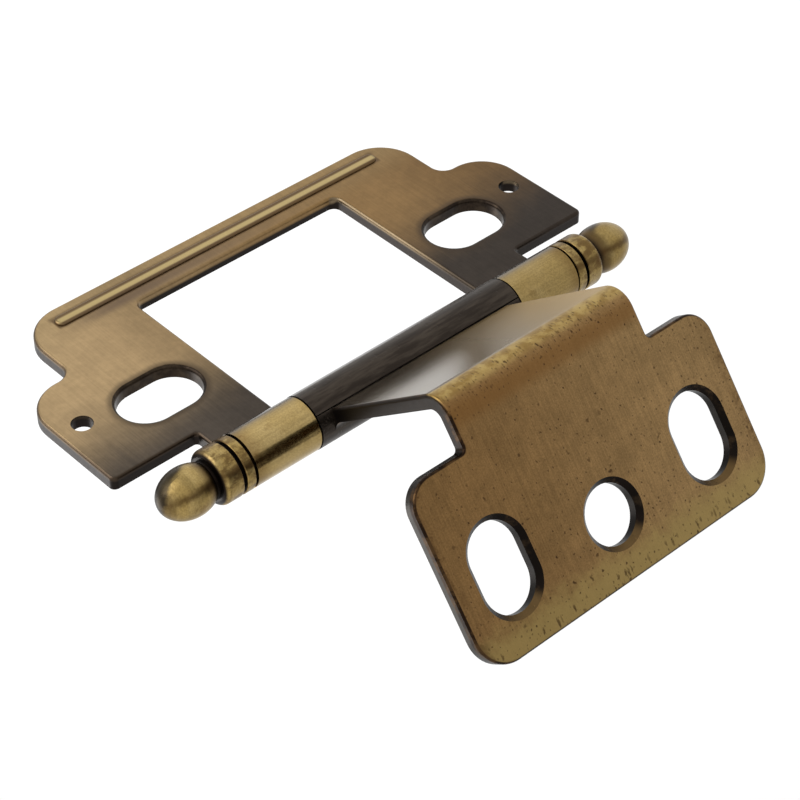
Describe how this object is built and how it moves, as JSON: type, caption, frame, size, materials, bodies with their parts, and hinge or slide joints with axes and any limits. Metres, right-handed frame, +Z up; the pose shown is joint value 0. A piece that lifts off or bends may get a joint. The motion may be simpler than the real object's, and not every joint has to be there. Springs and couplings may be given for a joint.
{
  "type": "inset cabinet hinge",
  "caption": "Inset cabinet door hinge: flat frame leaf with a window, folded door leaf that wraps the door's back, exposed barrel with turned finial tips.",
  "frame": {"origin": "midway between the two frame screw slots, on the face of the frame leaf that lies against the cabinet stile", "axes": "+X from the stile towards the door, +Y into the cabinet, +Z up along the hinge pin"},
  "size_m": [0.0216, 0.0698, 0.0698],
  "materials": {
    "leaf_brass": "antique, brushed",
    "finial_brass": "satin",
    "pin_steel": "satin"
  },
  "bodies": {
    "frame": {"frame_leaf": "leaf_brass", "hinge_pin": "pin_steel", "finial_top": "finial_brass", "finial_bottom": "finial_brass"},
    "door": {"door_leaf": "leaf_brass"}
  },
  "joints": [
    {"name": "door_swing", "type": "hinge", "parent": "frame", "child": "door", "pos_m": [0.0022, -0.0147, 0], "axis": [0, 0, -1], "range_deg": [-142, 38]}
  ]
}
